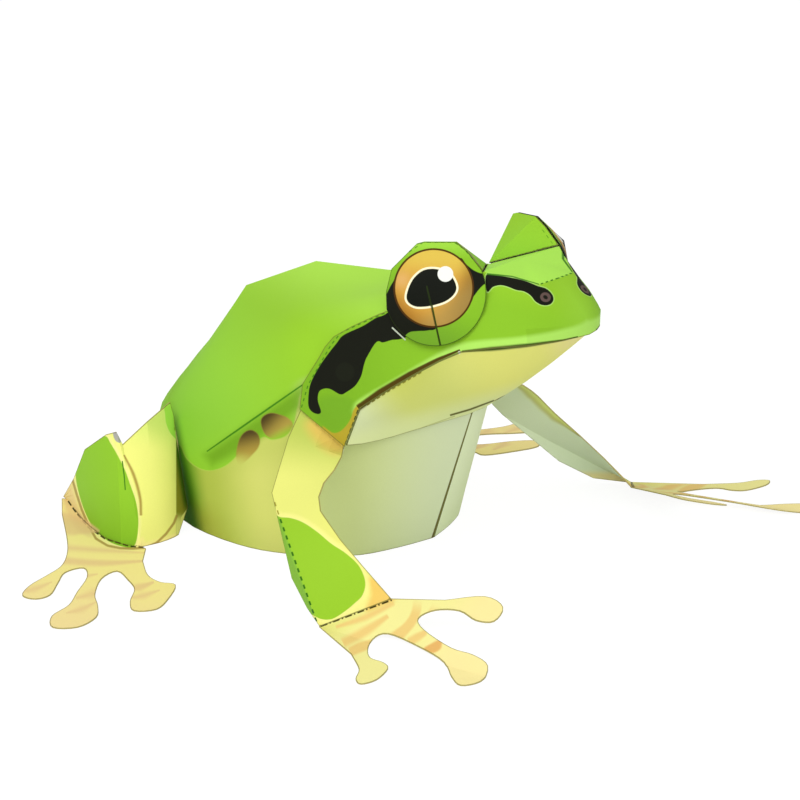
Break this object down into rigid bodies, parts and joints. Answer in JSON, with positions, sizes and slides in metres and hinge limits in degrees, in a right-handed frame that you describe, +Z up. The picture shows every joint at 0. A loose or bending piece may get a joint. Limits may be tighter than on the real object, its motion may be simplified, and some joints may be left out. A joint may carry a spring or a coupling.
{
  "type": "origami frog",
  "caption": "Sitting frog folded and glued from printed card, with raised eye hoods, a hollow trunk open underneath and spread hands and feet that it stands on.",
  "frame": {"origin": "centre of the bounding box's footprint, on the ground the frog stands on", "axes": "+X towards the snout, +Y to the frog's left, across the spread feet, +Z up"},
  "size_m": [0.1754, 0.2256, 0.0886],
  "materials": {
    "body_card": "matte",
    "head_card": "matte",
    "throat_card": "matte",
    "eye_card": "matte",
    "limb_card": "matte"
  },
  "bodies": {
    "root": {"body_sheet": "body_card", "head_sheet": "head_card", "throat_sheet": "throat_card", "eye_hood_right": "head_card", "eye_hood_left": "head_card", "eye_disc_right": "eye_card", "eye_disc_left": "eye_card", "arm_right": "limb_card", "arm_left": "limb_card", "hind_leg_right": "limb_card", "hind_leg_left": "limb_card"}
  },
  "joints": []
}
